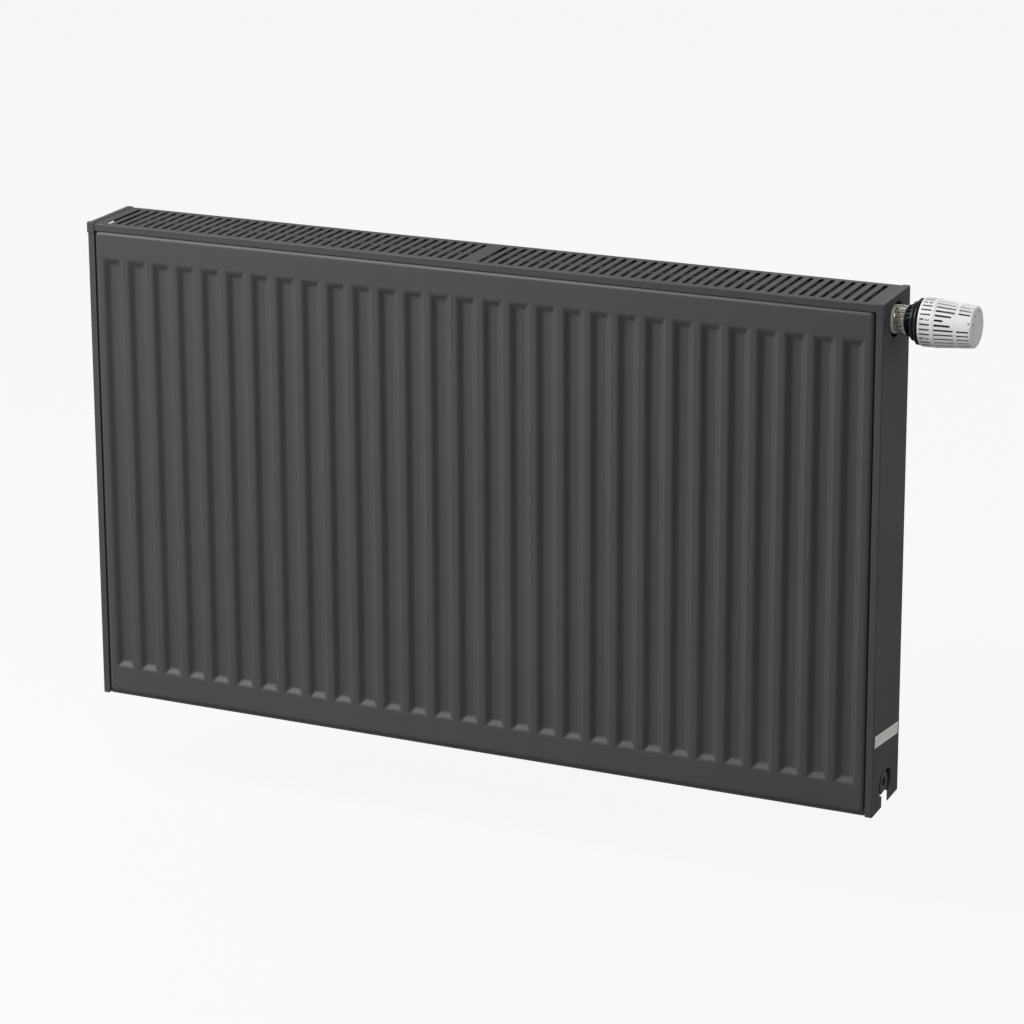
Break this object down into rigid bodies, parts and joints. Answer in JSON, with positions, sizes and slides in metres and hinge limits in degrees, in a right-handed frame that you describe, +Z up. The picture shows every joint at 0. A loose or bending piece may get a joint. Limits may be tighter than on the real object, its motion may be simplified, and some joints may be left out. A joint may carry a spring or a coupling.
{
  "type": "panel radiator with thermostatic valve",
  "caption": "Flat steel panel radiator with vertical grooves, slotted top grille, side covers, wall lugs and a white thermostatic head on its built-in side valve.",
  "frame": {"origin": "centre of the plane on which the four wall lugs hang, midway between the end covers and at half the height", "axes": "+X along the length towards the thermostatic head, +Y towards the wall (the front faces -Y), +Z up"},
  "size_m": [1.1044, 0.1, 0.6003],
  "materials": {
    "panel_paint": "satin anthracite powder coat",
    "casing_paint": "satin anthracite powder coat",
    "inner_paint": "matt anthracite primer coat",
    "label_film": "blank silver-grey printed film",
    "nickel_plating": "warm satin nickel plating",
    "brass": "turned brass",
    "stainless_steel": "ground stainless steel",
    "spring_steel": "bright spring wire",
    "seal_rubber": "black EPDM rubber",
    "ivory_plastic": "ivory moulded plastic",
    "black_plastic": "black moulded plastic",
    "white_plastic": "white semi-gloss moulded plastic",
    "carrier_plastic": "dark grey moulded plastic",
    "sensor_metal": "drawn metal capsule"
  },
  "bodies": {
    "radiator": {"front_panel_outer_sheet": "panel_paint", "front_panel_inner_sheet": "panel_paint", "rear_panel_inner_sheet": "panel_paint", "rear_panel_outer_sheet": "panel_paint", "front_convector": "inner_paint", "rear_convector": "inner_paint", "top_left_tee": "inner_paint", "bottom_left_tee": "inner_paint", "top_right_tee": "inner_paint", "bottom_right_tee": "inner_paint", "flow_socket": "inner_paint", "flow_socket_bracket": "inner_paint", "riser_pipe": "inner_paint", "upper_left_wall_lug": "inner_paint", "upper_right_wall_lug": "inner_paint", "lower_left_wall_lug": "inner_paint", "lower_right_wall_lug": "inner_paint", "top_grille": "casing_paint", "left_side_cover": "casing_paint", "right_side_cover": "casing_paint", "rating_label": "label_film", "valve_seat_ring": "brass", "valve_insert_body": "nickel_plating", "valve_insert_seal": "seal_rubber", "gland_screw": "brass", "gland_seal": "seal_rubber", "valve_collar": "ivory_plastic", "valve_return_spring": "spring_steel", "union_nut": "nickel_plating", "head_base": "black_plastic", "vent_plug": "nickel_plating", "vent_plug_seal": "seal_rubber", "bottom_left_plug": "panel_paint", "bottom_left_plug_seal": "seal_rubber", "bottom_right_plug": "panel_paint", "bottom_right_plug_seal": "seal_rubber"},
    "sensor_carrier": {"sensor_carrier": "carrier_plastic", "sensor_element": "sensor_metal", "over_travel_spring": "spring_steel"},
    "handwheel": {"handwheel": "white_plastic", "scale_ring": "white_plastic"},
    "valve_spindle": {"valve_spindle": "stainless_steel", "valve_disc": "seal_rubber", "push_pin": "brass"},
    "vent_screw": {"vent_screw": "brass"},
    "vent_spout": {"vent_spout": "white_plastic"}
  },
  "joints": [
    {"name": "carrier_slide", "type": "slide", "parent": "radiator", "child": "sensor_carrier", "axis": [1, 0, 0], "range_m": [-0.00145, 0.00097]},
    {"name": "handwheel_turn", "type": "hinge", "parent": "sensor_carrier", "child": "handwheel", "pos_m": [0.5, -0.053, 0.273], "axis": [1, 0, 0], "range_deg": [-144, 96]},
    {"name": "spindle_lift", "type": "slide", "parent": "radiator", "child": "valve_spindle", "axis": [1, 0, 0], "range_m": [-0.00145, 0.00097], "deforming": ["valve_return_spring"]},
    {"name": "vent_screw_turn", "type": "hinge", "parent": "radiator", "child": "vent_screw", "pos_m": [-0.5, -0.053, 0.273], "axis": [-1, 0, 0], "range_deg": [0, 360]},
    {"name": "vent_spout_swivel", "type": "hinge", "parent": "radiator", "child": "vent_spout", "pos_m": [-0.5, -0.053, 0.273], "axis": [-1, 0, 0], "continuous": true}
  ],
  "couplings": [
    {"joint": "carrier_slide", "follows": "handwheel_turn", "m_per_rad": 0.00057296},
    {"joint": "spindle_lift", "follows": "handwheel_turn", "m_per_rad": 0.00057296}
  ]
}
